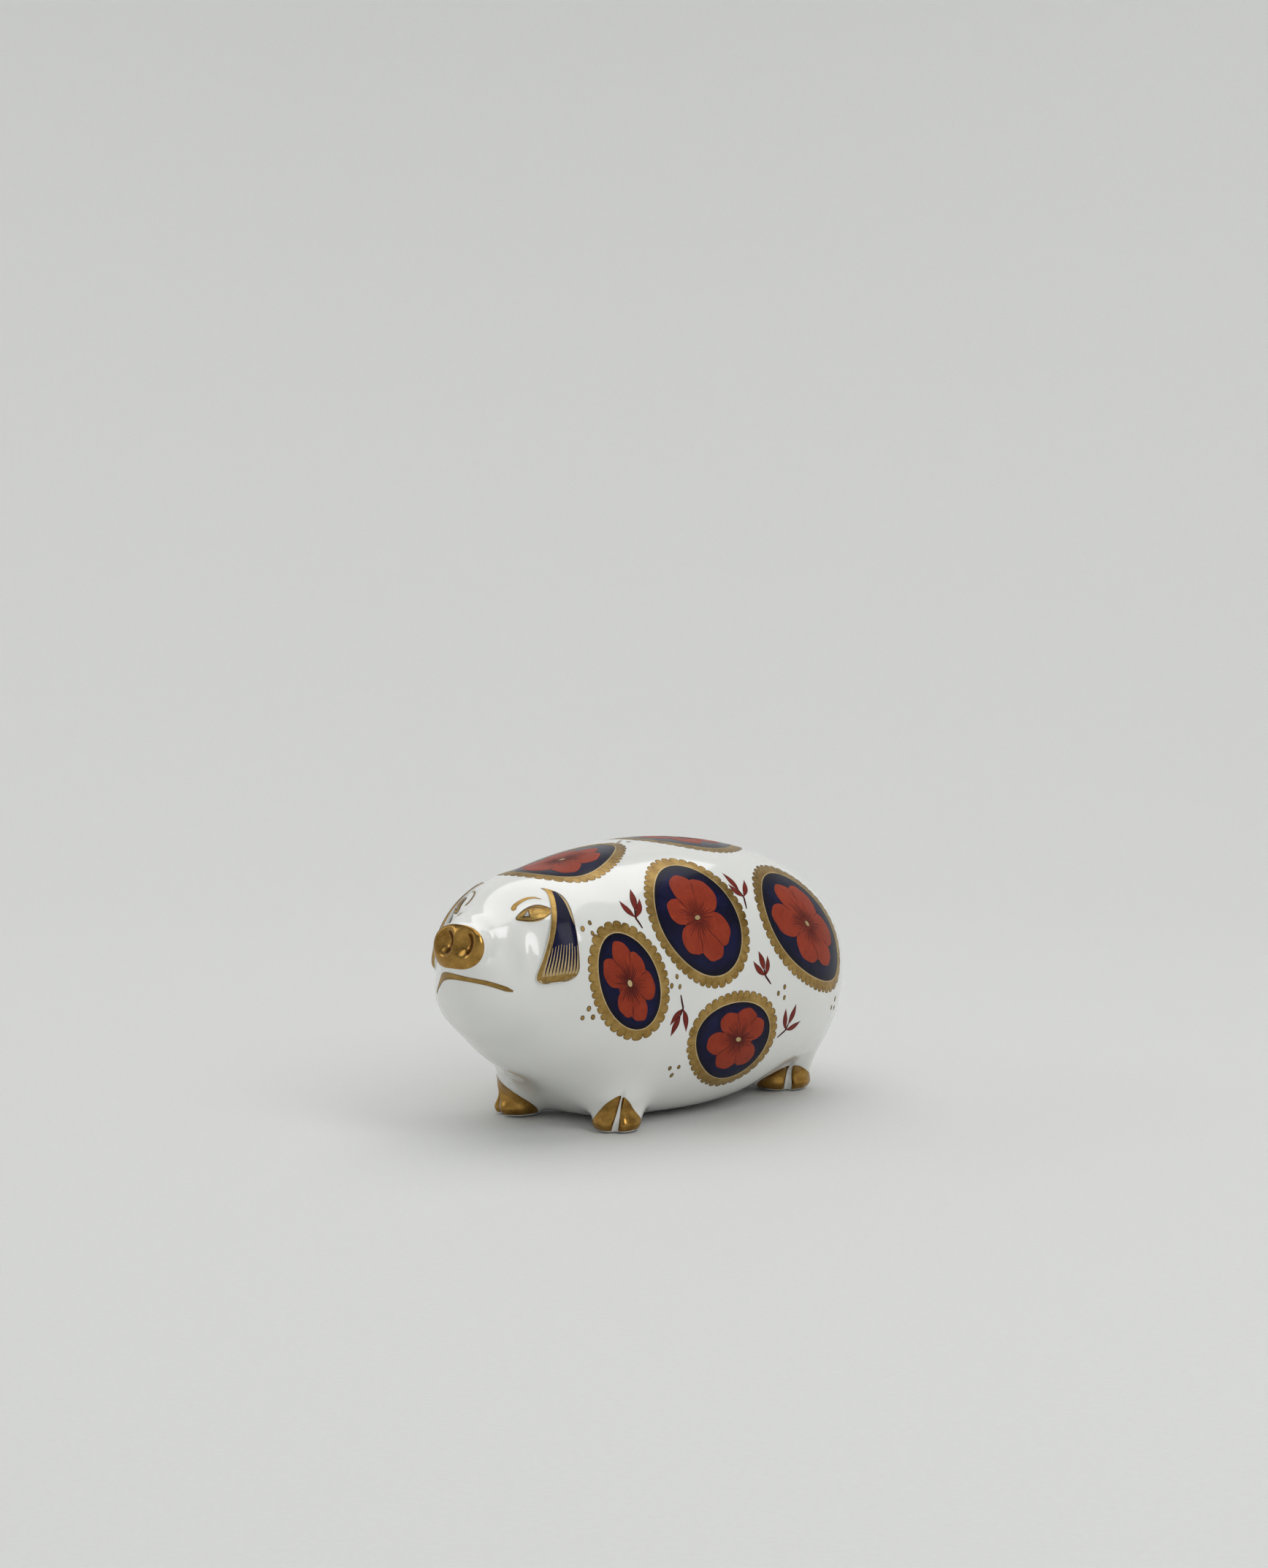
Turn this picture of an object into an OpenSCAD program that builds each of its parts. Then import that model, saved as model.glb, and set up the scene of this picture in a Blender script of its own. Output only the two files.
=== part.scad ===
// Glazed china pig paperweight: a hollow slip-cast body with applied ears and tail,
// a sand ballast and a push-in stopper in the flat of the belly.
// Millimetres. The pig faces -Y, its left side is +X, and it stands on z = 0.

/* [Figure] */
// Length from the snout to the rump
body_length = 114; // [112:0.2:116]
// Height at which the belly is ground flat, above the soles
belly_flat = 0.8; // [0.5:0.1:1.5]
// How far neighbouring masses of the body flow into each other
blend = 3; // [2.5:0.1:3.5]
// Thickness of the china
wall = 3; // [2.5:0.1:3.5]
// Thickness of the glaze and gilding over it
glaze = 0.1; // [0.05:0.05:0.15]

/* [Feet] */
// Half the distance between the left and right feet
foot_x = 14; // [13:0.1:15]
// Place of the front feet along the body
front_foot_y = -20.3; // [-21.5:0.1:-19]
// Place of the rear feet along the body
rear_foot_y = 39.5; // [38:0.1:41]
// Radius of a hoof just above its sole
hoof_r = 4.7; // [4.4:0.1:5]

/* [Ears and tail] */
// Length of an ear from its tip to its rounded end
ear_length = 21; // [19:0.5:22]
// Thickness of an ear
ear_thickness = 1.4; // [1.2:0.1:1.6]
// Thickness of the tail at its root
tail_d = 3.2; // [2.8:0.1:3.6]
// Width of the curl of the tail
curl_d = 9; // [8:0.5:10]

/* [Ballast and stopper] */
// Height of the sand inside the body
sand_level = 23; // [18:1:28]
// Bore through the china for the stopper
bore_d = 14; // [13:0.5:14.5]
// Diameter of the gilt disc that closes the bore
cap_d = 18; // [17.5:0.5:19]
// Thickness of the gilt disc
cap_thickness = 1.2; // [1:0.1:1.4]
// Length of the stopper above the disc
plug_length = 7; // [6.5:0.1:8]
// Clearance of the stopper all round
stopper_gap = 0.08; // [0.05:0.01:0.1]

/* [Hidden] */

china = "white";
cobalt = "midnightblue";
gilt = "goldenrod";
sand = "tan";
rubber = "dimgray";
fn = 64;
nose_y = -56.9;
rump_y = 56.9;
cavity_front = -50;
cavity_rear = 53;
stopper_y = 10;
cap_top = belly_flat + cap_thickness;
plug_r = bore_d / 2 - stopper_gap;
stem_r = 2.5;
stem_length = 4;
rib_depth = 0.5;
ribs = 3;
luting = glaze + 0.1;
toe_splay = 38;
cleft_width = 1;
sand_floor = belly_flat + wall + 0.5;
sand_scale = 0.97;
sand_centre = [0, 0, 28];
plug_clearance = 0.5;

// Where an ear starts on the head, which way it hangs and which way it spreads
ear_tip = [8.5, -38.6, 53.3];
ear_down = [0.425, -0.252, -0.869];
ear_across = [0.49, 0.867, 0.02];
ear_out = cross(ear_down, ear_across);
// Height of the middle of the tail's curl, and how many degrees the curl turns
tail_z = 45;
tail_turn = 450;

// Each mass: centre, radii, how far its front end is raised in degrees, squareness
// (2 is an ellipsoid), and how much its width and height shrink towards the rear.
trunk = [[0, 14.2, 28.9], [31.9, 42.6, 29.7], 0, 2.3, -0.13, 0.1];
chest = [[0, -13.5, 28.8], [24.6, 24.3, 23.1], 0, 2, 0, 0];
neck = [[0, -16.6, 35.7], [24, 22.4, 19.7], 0, 2, 0, 0];
head = [[0, -32.6, 37], [19.2, 15.4, 17.3], -10, 2, 0, 0];
muzzle = [[0, -43.4, 30.4], [12, 10.2, 8.1], 0, 2, 0, 0];
bridge = [[0, -42.9, 40.7], [6.4, 8.5, 5.6], -15, 2, 0, 0];
snout = [[0, -52.7, 42], [5.3, 2.6, 4.4], 15, 2.4, 0, 0];
jowl = [[0, -32.4, 25.8], [13.5, 12.4, 11.8], 20, 2, 0, 0];
haunch = [[14.8, 35.7, 17.9], [7.9, 11.7, 11.1], 0, 2, 0, 0];
shoulder = [[9.7, -16.1, 15], [5.1, 7.4, 8.2], 0, 2, 0, 0];
front_leg = [[foot_x, front_foot_y, 2.4], [3.9, 4.3, 6.3], 0, 2, 0, 0];
rear_leg = [[foot_x, rear_foot_y, 4], [4.6, 4.8, 7.9], 0, 2, 0, 0];

function mirrored(m) = [[-m[0].x, m[0].y, m[0].z], m[1], m[2], m[3], m[4], m[5]];
masses = [
    trunk, chest, neck, head, muzzle, bridge, snout, jowl,
    for (m = [haunch, shoulder, front_leg, rear_leg]) each [m, mirrored(m)]
];

// Signed distance, roughly, from point p to the surface of mass m
function mass_gap(p, m) =
    let(
        d = p - m[0],
        y = d.y * cos(m[2]) - d.z * sin(m[2]),
        z = d.y * sin(m[2]) + d.z * cos(m[2]),
        t = min(1.3, max(-1.3, y / m[1].y)),
        rx = m[1].x * (1 - m[4] * t),
        rz = m[1].z * (1 - m[5] * t),
        q = [abs(d.x / rx), abs(y / m[1].y), abs(z / rz)],
        n = m[3],
        k = pow(pow(q.x, n) + pow(q.y, n) + pow(q.z, n), 1 / n) + 0.000001,
        g = norm([pow(q.x, n - 1) / rx, pow(q.y, n - 1) / m[1].y, pow(q.z, n - 1) / rz])
    )
    (k - 1) / (g * pow(k, 1 - n) + 0.000001);

// The masses flowing together: 0 on the skin, negative inside
function skin_gap(p) =
    -blend * ln([for (m = masses) exp(-max(-90, min(90, mass_gap(p, m) / blend)))]
        * [for (m = masses) 1]);

// Distance from point p along dir at which the skin, moved out by level, is met
function cast(p, dir, level, r, steps) =
    steps == 0 ? r : cast(p, dir, level, r - skin_gap(p + r * dir) + level, steps - 1);

// Height of the centre of a section: it climbs from the trunk to the snout
function spine_z(y) = y > -35 ? 29 : y < -53 ? 40.5 : 34.75 + 5.75 * cos((y + 53) * 10);

// Sections of the skin, closer together towards both ends
function section_y(front, rear, s) = (front + rear) / 2 - (rear - front) / 2 * cos(180 * s);

// A closed body through rings of points, each ring with the same number of points
module ringed_body(rings) {
    count = len(rings);
    sides = len(rings[0]);
    polyhedron(
        points = [for (ring = rings) each ring],
        faces = concat(
            [[for (j = [0:sides - 1]) j]],
            [for (i = [0:count - 2], j = [0:sides - 1])
                [i * sides + j, (i + 1) * sides + j, (i + 1) * sides + (j + 1) % sides]],
            [for (i = [0:count - 2], j = [0:sides - 1])
                [i * sides + j, (i + 1) * sides + (j + 1) % sides, i * sides + (j + 1) % sides]],
            [[for (j = [sides - 1:-1:0]) (count - 1) * sides + j]]
        )
    );
}

// Half of the ring at y, from the top down to the bottom, then mirrored to close it
function skin_ring(y, level, sides) =
    let(
        half = [for (j = [0:sides / 2])
            let(
                a = 360 * j / sides,
                dir = [sin(a), 0, cos(a)],
                p = [0, y, spine_z(y)],
                r = max(0.4, cast(p, dir, level, 20, 16))
            )
            p + r * dir]
    )
    concat(half, [for (j = [sides / 2 - 1:-1:1]) [-half[j].x, half[j].y, half[j].z]]);

module skin(front, rear, level, count, sides) {
    ringed_body([for (i = [0:count]) skin_ring(section_y(front, rear, i / count), level, sides)]);
}

// Front and back edge of an ear, across its length, at share s of the way down
function ear_front(s) = (1.1 - 6.3 * s * s) * (1 - exp(-26 * s));
function ear_back(s) = 4.5 * (1 - exp(-12 * s));
function ear_round(s) = s < 0.86 ? 1 : pow(1.001 - pow((s - 0.86) / 0.14, 3), 1 / 3);

// Point of the ear at share s down and t across (-1 front, 1 back), lifted off the skin
function ear_point(s, t, lift) =
    let(
        mid = (ear_front(s) + ear_back(s)) / 2,
        half = (ear_back(s) - ear_front(s)) / 2 * ear_round(s),
        p = ear_tip + ear_down * s * ear_length + ear_across * (mid + t * half)
    )
    p + ear_out * cast(p, ear_out, lift, 0, 16);

module ear(rows, columns) {
    ringed_body([for (i = [0:rows])
        let(s = 0.01 + 0.99 * i / rows)
        concat(
            [for (j = [0:columns]) ear_point(s, 1 - 2 * j / columns, luting)],
            [for (j = [0:columns])
                let(t = 2 * j / columns - 1)
                ear_point(s, t, luting + ear_thickness * (0.35 + 0.65 * sqrt(1 - pow(t, 4))))]
        )
    ]);
}

// Centre line of the tail, lying on the rump, at share s from its root
function tail_r(s) = tail_d / 2 * (1 - 0.55 * s);
function tail_point(s) =
    let(
        a = 90 + tail_turn * s,
        r = curl_d / 2 * (1 - 0.73 * s),
        p = [r * cos(a), 40, tail_z + r * sin(a)]
    )
    p + [0, cast(p, [0, 1, 0], luting + tail_r(s), 12, 16), 0];

module tail_cord(rows, sides) {
    ringed_body([for (i = [0:rows])
        let(
            s = i / rows,
            p = tail_point(s),
            along = tail_point(s + 0.01) - tail_point(s - 0.01),
            side = cross(along, [0, 1, 0]) / norm(cross(along, [0, 1, 0])),
            out = cross(side, along) / norm(along)
        )
        [for (j = [0:sides - 1])
            p + tail_r(s) * (side * cos(360 * j / sides) + out * sin(360 * j / sides))]
    ]);
}

// A short leg that ends in a hoof, cloven between its two toes
module foot(y, splay, lean) {
    difference() {
        hull() {
            translate([foot_x, y, 0]) cylinder(h = 0.1, r = hoof_r - 0.8, $fn = 32);
            translate([foot_x, y, 1]) cylinder(h = 2, r = hoof_r, $fn = 32);
            translate([foot_x - 2, y + lean, 14]) sphere(r = hoof_r + 1.5, $fn = 24);
        }
        translate([foot_x, y, -1]) rotate([0, 0, splay])
            translate([-cleft_width / 2, -hoof_r - 1, 0]) cube([cleft_width, 1.8, 6]);
    }
}

module nostril() {
    translate([2.2, -56.4, 42.6]) scale([1.5, 0.9, 1.9]) sphere(r = 1, $fn = 20);
}

module figure_outside() {
    difference() {
        skin(nose_y, rump_y, glaze, 44, 48);
        translate([-50, -70, belly_flat - 20]) cube([100, 140, 20]);
    }
    for (side = [0, 1]) mirror([side, 0, 0]) {
        foot(front_foot_y, toe_splay, 4);
        foot(rear_foot_y, toe_splay, -4);
    }
}

// The hollow, with a flat floor over the legs and the belly
module cavity() intersection() {
    skin(cavity_front, cavity_rear, -wall, 24, 28);
    translate([-50, -70, belly_flat + wall]) cube([100, 140, 60]);
}

module body_shell() color(china) difference() {
    resize([0, body_length, 0]) difference() {
        figure_outside();
        cavity();
        for (side = [0, 1]) mirror([side, 0, 0]) nostril();
        translate([0, stopper_y, 0]) cylinder(h = plug_length, d = bore_d - 1, $fn = 32);
    }
    translate([0, stopper_y, 0]) {
        cylinder(h = cap_top + stopper_gap, d = cap_d + 4 * stopper_gap, $fn = fn);
        cylinder(h = plug_length + wall, d = bore_d, $fn = fn);
    }
}

module left_ear() color(cobalt) ear(20, 8);

module right_ear() color(cobalt) mirror([1, 0, 0]) ear(20, 8);

module tail() color(china) tail_cord(40, 12);

// The hollow's shape a little smaller, filled up to the sand's level
module sand_fill() color(sand) difference() {
    resize([0, 0, sand_level - sand_floor]) intersection() {
        translate(sand_centre) scale(sand_scale) translate(-sand_centre) cavity();
        translate([-50, -70, sand_floor]) cube([100, 140, sand_level - sand_floor]);
    }
    translate([0, stopper_y, 0])
        cylinder(h = cap_top + plug_length + plug_clearance, d = bore_d + 2 * plug_clearance, $fn = fn);
}

// The stopper's ribbed plug, turned about its own axis
module stopper_plug() color(rubber) translate([0, stopper_y, cap_top]) difference() {
    union() {
        cylinder(h = plug_length, r = plug_r - rib_depth, $fn = fn);
        for (i = [0:ribs - 1])
            translate([0, 0, plug_length * (i + 0.25) / ribs])
                cylinder(h = plug_length / ribs / 2, r = plug_r, $fn = fn);
    }
    translate([0, 0, -1]) cylinder(h = stem_length + 1 + stopper_gap, r = stem_r + stopper_gap, $fn = fn);
}

// The gilt disc and the stem that holds it in the plug
module stopper_cap() color(gilt) translate([0, stopper_y, belly_flat]) {
    cylinder(h = cap_thickness, d = cap_d, $fn = fn);
    cylinder(h = cap_thickness + stem_length, r = stem_r, $fn = fn);
}

body_shell();
left_ear();
right_ear();
tail();
sand_fill();
stopper_plug();
stopper_cap();
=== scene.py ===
"""Looks for the glazed china pig: a moulded body with painted and gilded decoration.

Shapes are worked out in millimetres in the frame of the CAD model (the pig faces -Y, its left is
+X, it stands on z = 0) and turned into metres when a mesh is made.
"""
import math

import bmesh
import bpy
import numpy as np
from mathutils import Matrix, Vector


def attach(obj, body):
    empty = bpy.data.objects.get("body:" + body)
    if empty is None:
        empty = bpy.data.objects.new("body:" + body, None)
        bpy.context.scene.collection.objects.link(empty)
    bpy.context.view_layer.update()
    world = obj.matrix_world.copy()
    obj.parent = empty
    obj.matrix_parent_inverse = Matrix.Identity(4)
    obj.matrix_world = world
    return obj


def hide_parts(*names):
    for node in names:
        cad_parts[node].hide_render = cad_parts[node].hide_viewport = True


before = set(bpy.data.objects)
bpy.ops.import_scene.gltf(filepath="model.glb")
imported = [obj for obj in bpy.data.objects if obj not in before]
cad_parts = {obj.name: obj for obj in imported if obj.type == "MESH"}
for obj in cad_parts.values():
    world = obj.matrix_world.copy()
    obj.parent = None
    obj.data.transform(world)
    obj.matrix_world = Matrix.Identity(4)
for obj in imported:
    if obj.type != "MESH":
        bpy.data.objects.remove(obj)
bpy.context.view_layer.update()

MM = 0.001
TAU = 2 * math.pi
BLEND = 3.0             # how softly the masses of the body flow together

# The masses of the body. Each is its centre, its radii, how far its front end is raised in degrees,
# its squareness (2 is an ellipsoid), and how much its width and height shrink towards the rear.
SPINE_MASSES = [
    ((0, 14.2, 28.9), (31.9, 42.6, 29.7), 0, 2.3, -0.13, 0.1),     # trunk
    ((0, -13.5, 28.8), (24.6, 24.3, 23.1), 0, 2, 0, 0),            # shoulders
    ((0, -16.6, 35.7), (24, 22.4, 19.7), 0, 2, 0, 0),              # nape
    ((0, -32.6, 37), (19.2, 15.4, 17.3), -10, 2, 0, 0),            # head
    ((0, -43.4, 30.4), (12, 10.2, 8.1), 0, 2, 0, 0),               # lower jaw
    ((0, -42.9, 40.7), (6.4, 8.5, 5.6), -15, 2, 0, 0),             # bridge of the nose
    ((0, -52.7, 42), (5.3, 2.6, 4.4), 15, 2.4, 0, 0),              # disc of the snout
    ((0, -32.4, 25.8), (13.5, 12.4, 11.8), 20, 2, 0, 0),           # throat
]
# These are on the left, and have mirror images on the right.
SIDE_MASSES = [
    ((14.8, 35.7, 17.9), (7.9, 11.7, 11.1), 0, 2, 0, 0),           # haunch
    ((9.7, -16.1, 15), (5.1, 7.4, 8.2), 0, 2, 0, 0),               # chest above the front leg
]
LEG_MASSES = [
    ((14, -20.3, 2.4), (3.9, 4.3, 6.3), 0, 2, 0, 0),
    ((14.2, 39.7, 3.6), (5.0, 5.2, 7.4), 0, 2, 0, 0),
]
# Each foot, front and rear: the x and y of its middle, and the radius of its sole.
FEET = [(14, -20.3, 4.7), (14.2, 39.7, 5.3)]
# The cleft of (foot, side): its direction at the sole in degrees from the front towards the
# outside, and its lean in degrees for each mm of height.
CLEFTS = {(0, 1): (26.5, 3.1), (0, -1): (16.5, 3.1), (1, 1): (45, 0.6), (1, -1): (45, 0.6)}

# Small modelling, the same left and right: how deep it is (swellings are negative), its centre on
# the left side, how far it is stretched in x, y and z, its radius and its steepness.
RELIEF = [
    (2.0, (19.5, 31, 5.5), (1, 1.2, 1), 7.0, 2),              # in front of the rear leg
    (-0.7, (5.4, -54.3, 42.2), (1, 1, 1.4), 2.3, 2),          # side of the snout
    (-0.55, (10.2, -43.2, 48.1), (1.1, 1.2, 0.75), 2.4, 3),   # eyeball
    (0.3, (9.2, -42.6, 50.0), (1.2, 1.3, 0.6), 2.6, 2),       # eye socket
    (0.8, (14.6, -44.5, 44.0), (1, 1.2, 1.5), 3.0, 2),        # temple
    (-0.45, (12.0, -47.6, 41.0), (1, 1, 3.0), 1.7, 2),        # ridge of the cheek
    (0.5, (9.2, -49.8, 42.0), (1, 1, 2.4), 2.2, 2),           # fold beside the snout
]

BELLY_FLAT = 0.8        # height of the ground flat of the belly
SOLE = 0.05             # height of the soles
WALL = 3.0              # thickness of the china
STOPPER_Y = 10.0        # the stopper's hole: its place, its bore and the recess for its cap
BORE_R = 7.0
RECESS_R = 9.16
RECESS_TOP = 2.08
LUTING = 0.2            # gap between a luted piece and the skin

GILT, ENAMEL, CHINA = "gilt", "ear_enamel", "china"     # material slots of the record


# ---------------------------------------------------------------- the skin as a field

def gap_to(p, mass, side=1):
    """Signed distance, roughly, from points p to the surface of one mass."""
    centre, radii, raised, squareness, narrow, flatten = mass
    d = p - np.array([side * centre[0], centre[1], centre[2]])
    c, s = math.cos(math.radians(raised)), math.sin(math.radians(raised))
    y, z = d[..., 1] * c - d[..., 2] * s, d[..., 1] * s + d[..., 2] * c
    t = np.clip(y / radii[1], -1.3, 1.3)
    rx, rz = radii[0] * (1 - narrow * t), radii[2] * (1 - flatten * t)
    q = [np.abs(d[..., 0] / rx), np.abs(y / radii[1]), np.abs(z / rz)]
    n = squareness
    k = (q[0] ** n + q[1] ** n + q[2] ** n) ** (1 / n) + 1e-6
    g = np.sqrt((q[0] ** (n - 1) / rx) ** 2 + (q[1] ** (n - 1) / radii[1]) ** 2
                + (q[2] ** (n - 1) / rz) ** 2)
    return (k - 1) / (g * k ** (1 - n) + 1e-6)


def bump(d, radius, power=2):
    """1 at d = 0, falling smoothly to nothing beyond the radius."""
    return np.exp(-(np.abs(d) / radius) ** power)


def body_relief(p):
    """Hollows (positive) and swellings (negative) of the head and flanks, in mm."""
    x, y, z = np.abs(p[..., 0]), p[..., 1], p[..., 2]
    out = 0
    for depth, centre, stretch, radius, power in RELIEF:
        d = [(v - c) / k for v, c, k in zip((x, y, z), centre, stretch)]
        out = out + depth * bump(np.sqrt(d[0] ** 2 + d[1] ** 2 + d[2] ** 2), radius, power)
    chest = bump(np.hypot(x / 9.0, (y + 12.5) / 8.5), 1.0) * bump(z - 4, 5.0, 4)
    front = bump(y + 57, 4.5, 4)
    nostril = front * bump(np.hypot((x - 2.6) / 0.95, (z - 42.5) / 1.08), 2.0, 2.9)
    lip = front * bump(np.hypot(x, (z - 39.2) / 0.4), 3.2, 4)
    across, along = x / 6.9, (z - 41.6 - 0.25 * (y + 55)) / 5.4
    groove = bump(np.hypot(across, along) - 1.0, 0.16) * bump(y + 52.4, 1.5)
    return out - 1.7 * chest + 1.9 * nostril - 0.05 * lip + 0.9 * groove


def cleft_azimuth(foot, side, z):
    """Where the cleft of a hoof runs, in degrees from the front towards the outside."""
    start, lean = CLEFTS[foot, side]
    return start + lean * z


def hoof_relief(p, foot, side):
    """The cleft, the hollow over the toes and the flared rim of one hoof."""
    cx, cy, radius = FEET[foot]
    z = p[..., 2]
    a = np.radians(cleft_azimuth(foot, side, z))
    dx, dy = side * p[..., 0] - cx, p[..., 1] - cy
    forward = dx * np.sin(a) - dy * np.cos(a)
    across = np.abs(dx * np.cos(a) + dy * np.sin(a))
    near = 1 / (1 + np.exp(-(forward - 0.6) * 2.2)) * bump(np.hypot(dx, dy), radius + 3.2, 8)
    cleft = 0.85 * bump(across, 0.5 + 0.11 * np.clip(6 - z, 0, 6)) * bump(z - 2.5, 6.0, 6)
    rim = -0.6 * bump(z - 1.6, 1.3) * (1 - bump(across, 1.0))
    hollow = 0.6 * bump(z - 4.8, 1.7) * bump(across - 2.4, 2.2)
    return near * (cleft + rim + hollow)


def skin(p, legs=True, relief=True):
    """0 on the skin of the pig, negative inside; the swells of the parts flow together."""
    def swell(masses, sides):
        return sum(np.exp(-np.clip(gap_to(p, m, side) / BLEND, -90, 90))
                   for m in masses for side in sides)

    total = swell(SPINE_MASSES, (1,)) + swell(SIDE_MASSES, (1, -1))
    if relief:
        total = total * np.exp(-body_relief(p) / BLEND)
    if legs:
        total = total + swell(LEG_MASSES, (1, -1))
    out = -BLEND * np.log(total)
    if relief and legs:
        low = p[..., 2] < 14
        if np.any(low):
            q = p[low]
            out[low] += sum(hoof_relief(q, f, s) for f, s in CLEFTS)
    return out


def under_gilding(p):
    """Where the china sinks a little under gold that lies over strongly curved modelling."""
    x, y, z = np.abs(p[..., 0]), p[..., 1], p[..., 2]
    snout = bump(np.hypot(x / 5.6, (z - 42) / 3.9), 1.0, 8) * bump(y + 57, 4.0, 8)
    hoof = sum(bump(np.hypot(x - fx, y - fy), r + 2, 8) for fx, fy, r in FEET)
    return 0.08 * snout + 0.05 * hoof * bump(z - 2, 5, 8)


def grounded(p):
    """The skin with the belly ground flat and the soles cut level."""
    x, y = np.abs(p[..., 0]), p[..., 1]
    away = np.min([np.hypot(x - fx, y - fy) - r for fx, fy, r in FEET], axis=0)
    t = np.clip(away / 1.6, 0, 1)
    cut = SOLE + (BELLY_FLAT - SOLE) * t * t * (3 - 2 * t) - p[..., 2]
    g = skin(p) + under_gilding(p)
    k = 0.35
    m = np.maximum(g, cut)
    return m + k * np.log(np.exp((g - m) / k) + np.exp((cut - m) / k)) - k * 0.02


def hollow(p):
    """The inside of the china, with its flat floor."""
    return np.maximum(skin(p, legs=False, relief=False) + WALL, BELLY_FLAT + WALL - p[..., 2])


def slope(f, p, e=2e-3):
    """Gradient of field f at points p."""
    base = f(p)
    return base, np.stack([(f(p + e * axis) - base) / e for axis in np.eye(3)], -1)


def settle(p, lift=0.0, along=None, f=skin, steps=5):
    """Points p moved on to the skin, or lift above it, straight towards it or along a direction."""
    for _ in range(steps):
        if along is None:
            v, g = slope(f, p)
            move = -((v - lift) / ((g * g).sum(-1) + 1e-9))[..., None] * g
        else:
            v = f(p)
            rate = (f(p + 0.01 * along) - v) / 0.01
            move = -((v - lift) / np.where(np.abs(rate) < 0.15, 0.15, rate))[..., None] * along
        size = np.linalg.norm(move, axis=-1, keepdims=True)
        p = p + move * np.minimum(1, 3.0 / np.maximum(size, 1e-9))
    return p


def unit(v):
    """Vectors of length 1 with the directions of v."""
    return v / np.maximum(np.linalg.norm(v, axis=-1, keepdims=True), 1e-12)


# ---------------------------------------------------------------- meshes

def surface_net(f, low, high, step, band):
    """Quads over f = 0, one point to each crossed cell, found in a band round the surface."""
    low = np.array(low, float)
    n = np.ceil((np.array(high) - low) / step).astype(int) + 1
    coarse = 4
    m = n // coarse + 2
    axes = [low[i] + step * coarse * np.arange(m[i]) for i in range(3)]
    rough = f(np.stack(np.meshgrid(*axes, indexing="ij"), -1))
    nearest = [np.clip((np.arange(n[i]) + coarse // 2) // coarse, 0, m[i] - 1) for i in range(3)]
    values = rough[np.ix_(*nearest)]
    near = np.argwhere(np.abs(values) < band)
    values[tuple(near.T)] = f(low + step * near)
    inside = values < 0
    total, count = np.zeros(tuple(n - 1) + (3,)), np.zeros(tuple(n - 1))
    faces = []
    crossings = []
    for d in range(3):
        a, b = [slice(None)] * 3, [slice(None)] * 3
        a[d], b[d] = slice(0, -1), slice(1, None)
        cross = inside[tuple(a)] != inside[tuple(b)]
        at = np.argwhere(cross)
        v0, v1 = values[tuple(a)][cross], values[tuple(b)][cross]
        point = at.astype(float)
        point[:, d] += v0 / (v0 - v1)
        first, second = (d + 1) % 3, (d + 2) % 3
        for da in (0, 1):
            for db in (0, 1):
                cell = at.copy()
                cell[:, first] -= da
                cell[:, second] -= db
                np.add.at(total, tuple(cell.T), point)
                np.add.at(count, tuple(cell.T), 1)
        crossings.append((at, inside[tuple(a)][cross], first, second))
    used = count > 0
    index = -np.ones(count.shape, int)
    index[used] = np.arange(used.sum())
    points = low + step * total[used] / count[used][:, None]
    for at, starts_inside, first, second in crossings:
        e1, e2 = np.eye(3, dtype=int)[first], np.eye(3, dtype=int)[second]
        quad = np.stack([index[tuple((at - s).T)] for s in (e1 + e2, e2, 0 * e1, e1)], 1)
        quad[~starts_inside] = quad[~starts_inside][:, ::-1]
        faces.append(quad)
    return points, np.concatenate(faces)


def link(name, data):
    """A new object in the scene."""
    obj = bpy.data.objects.new(name, data)
    bpy.context.scene.collection.objects.link(obj)
    return obj


def make_object(name, points, faces, material, tone=None, normals=None):
    """A smooth-shaded mesh object from points in mm."""
    mesh = bpy.data.meshes.new(name)
    faces = faces if isinstance(faces, list) else faces.tolist()
    mesh.from_pydata((np.asarray(points) * MM).tolist(), [], faces)
    mesh.materials.append(material)
    mesh.polygons.foreach_set("use_smooth", np.ones(len(mesh.polygons), bool))
    if tone is not None:
        layer = mesh.attributes.new("tone", "FLOAT", "POINT")
        layer.data.foreach_set("value", np.asarray(tone, np.float32))
    mesh.update()
    if normals is not None:
        mesh.normals_split_custom_set_from_vertices(np.asarray(normals).tolist())
    return link(name, mesh)


def facing(points, faces, quad, out):
    """The faces, turned over if that is what makes one of them, quad, look outwards."""
    a, b, c, d = points[quad]
    return faces if np.cross(c - a, d - b) @ out >= 0 else faces[:, ::-1]


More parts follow.
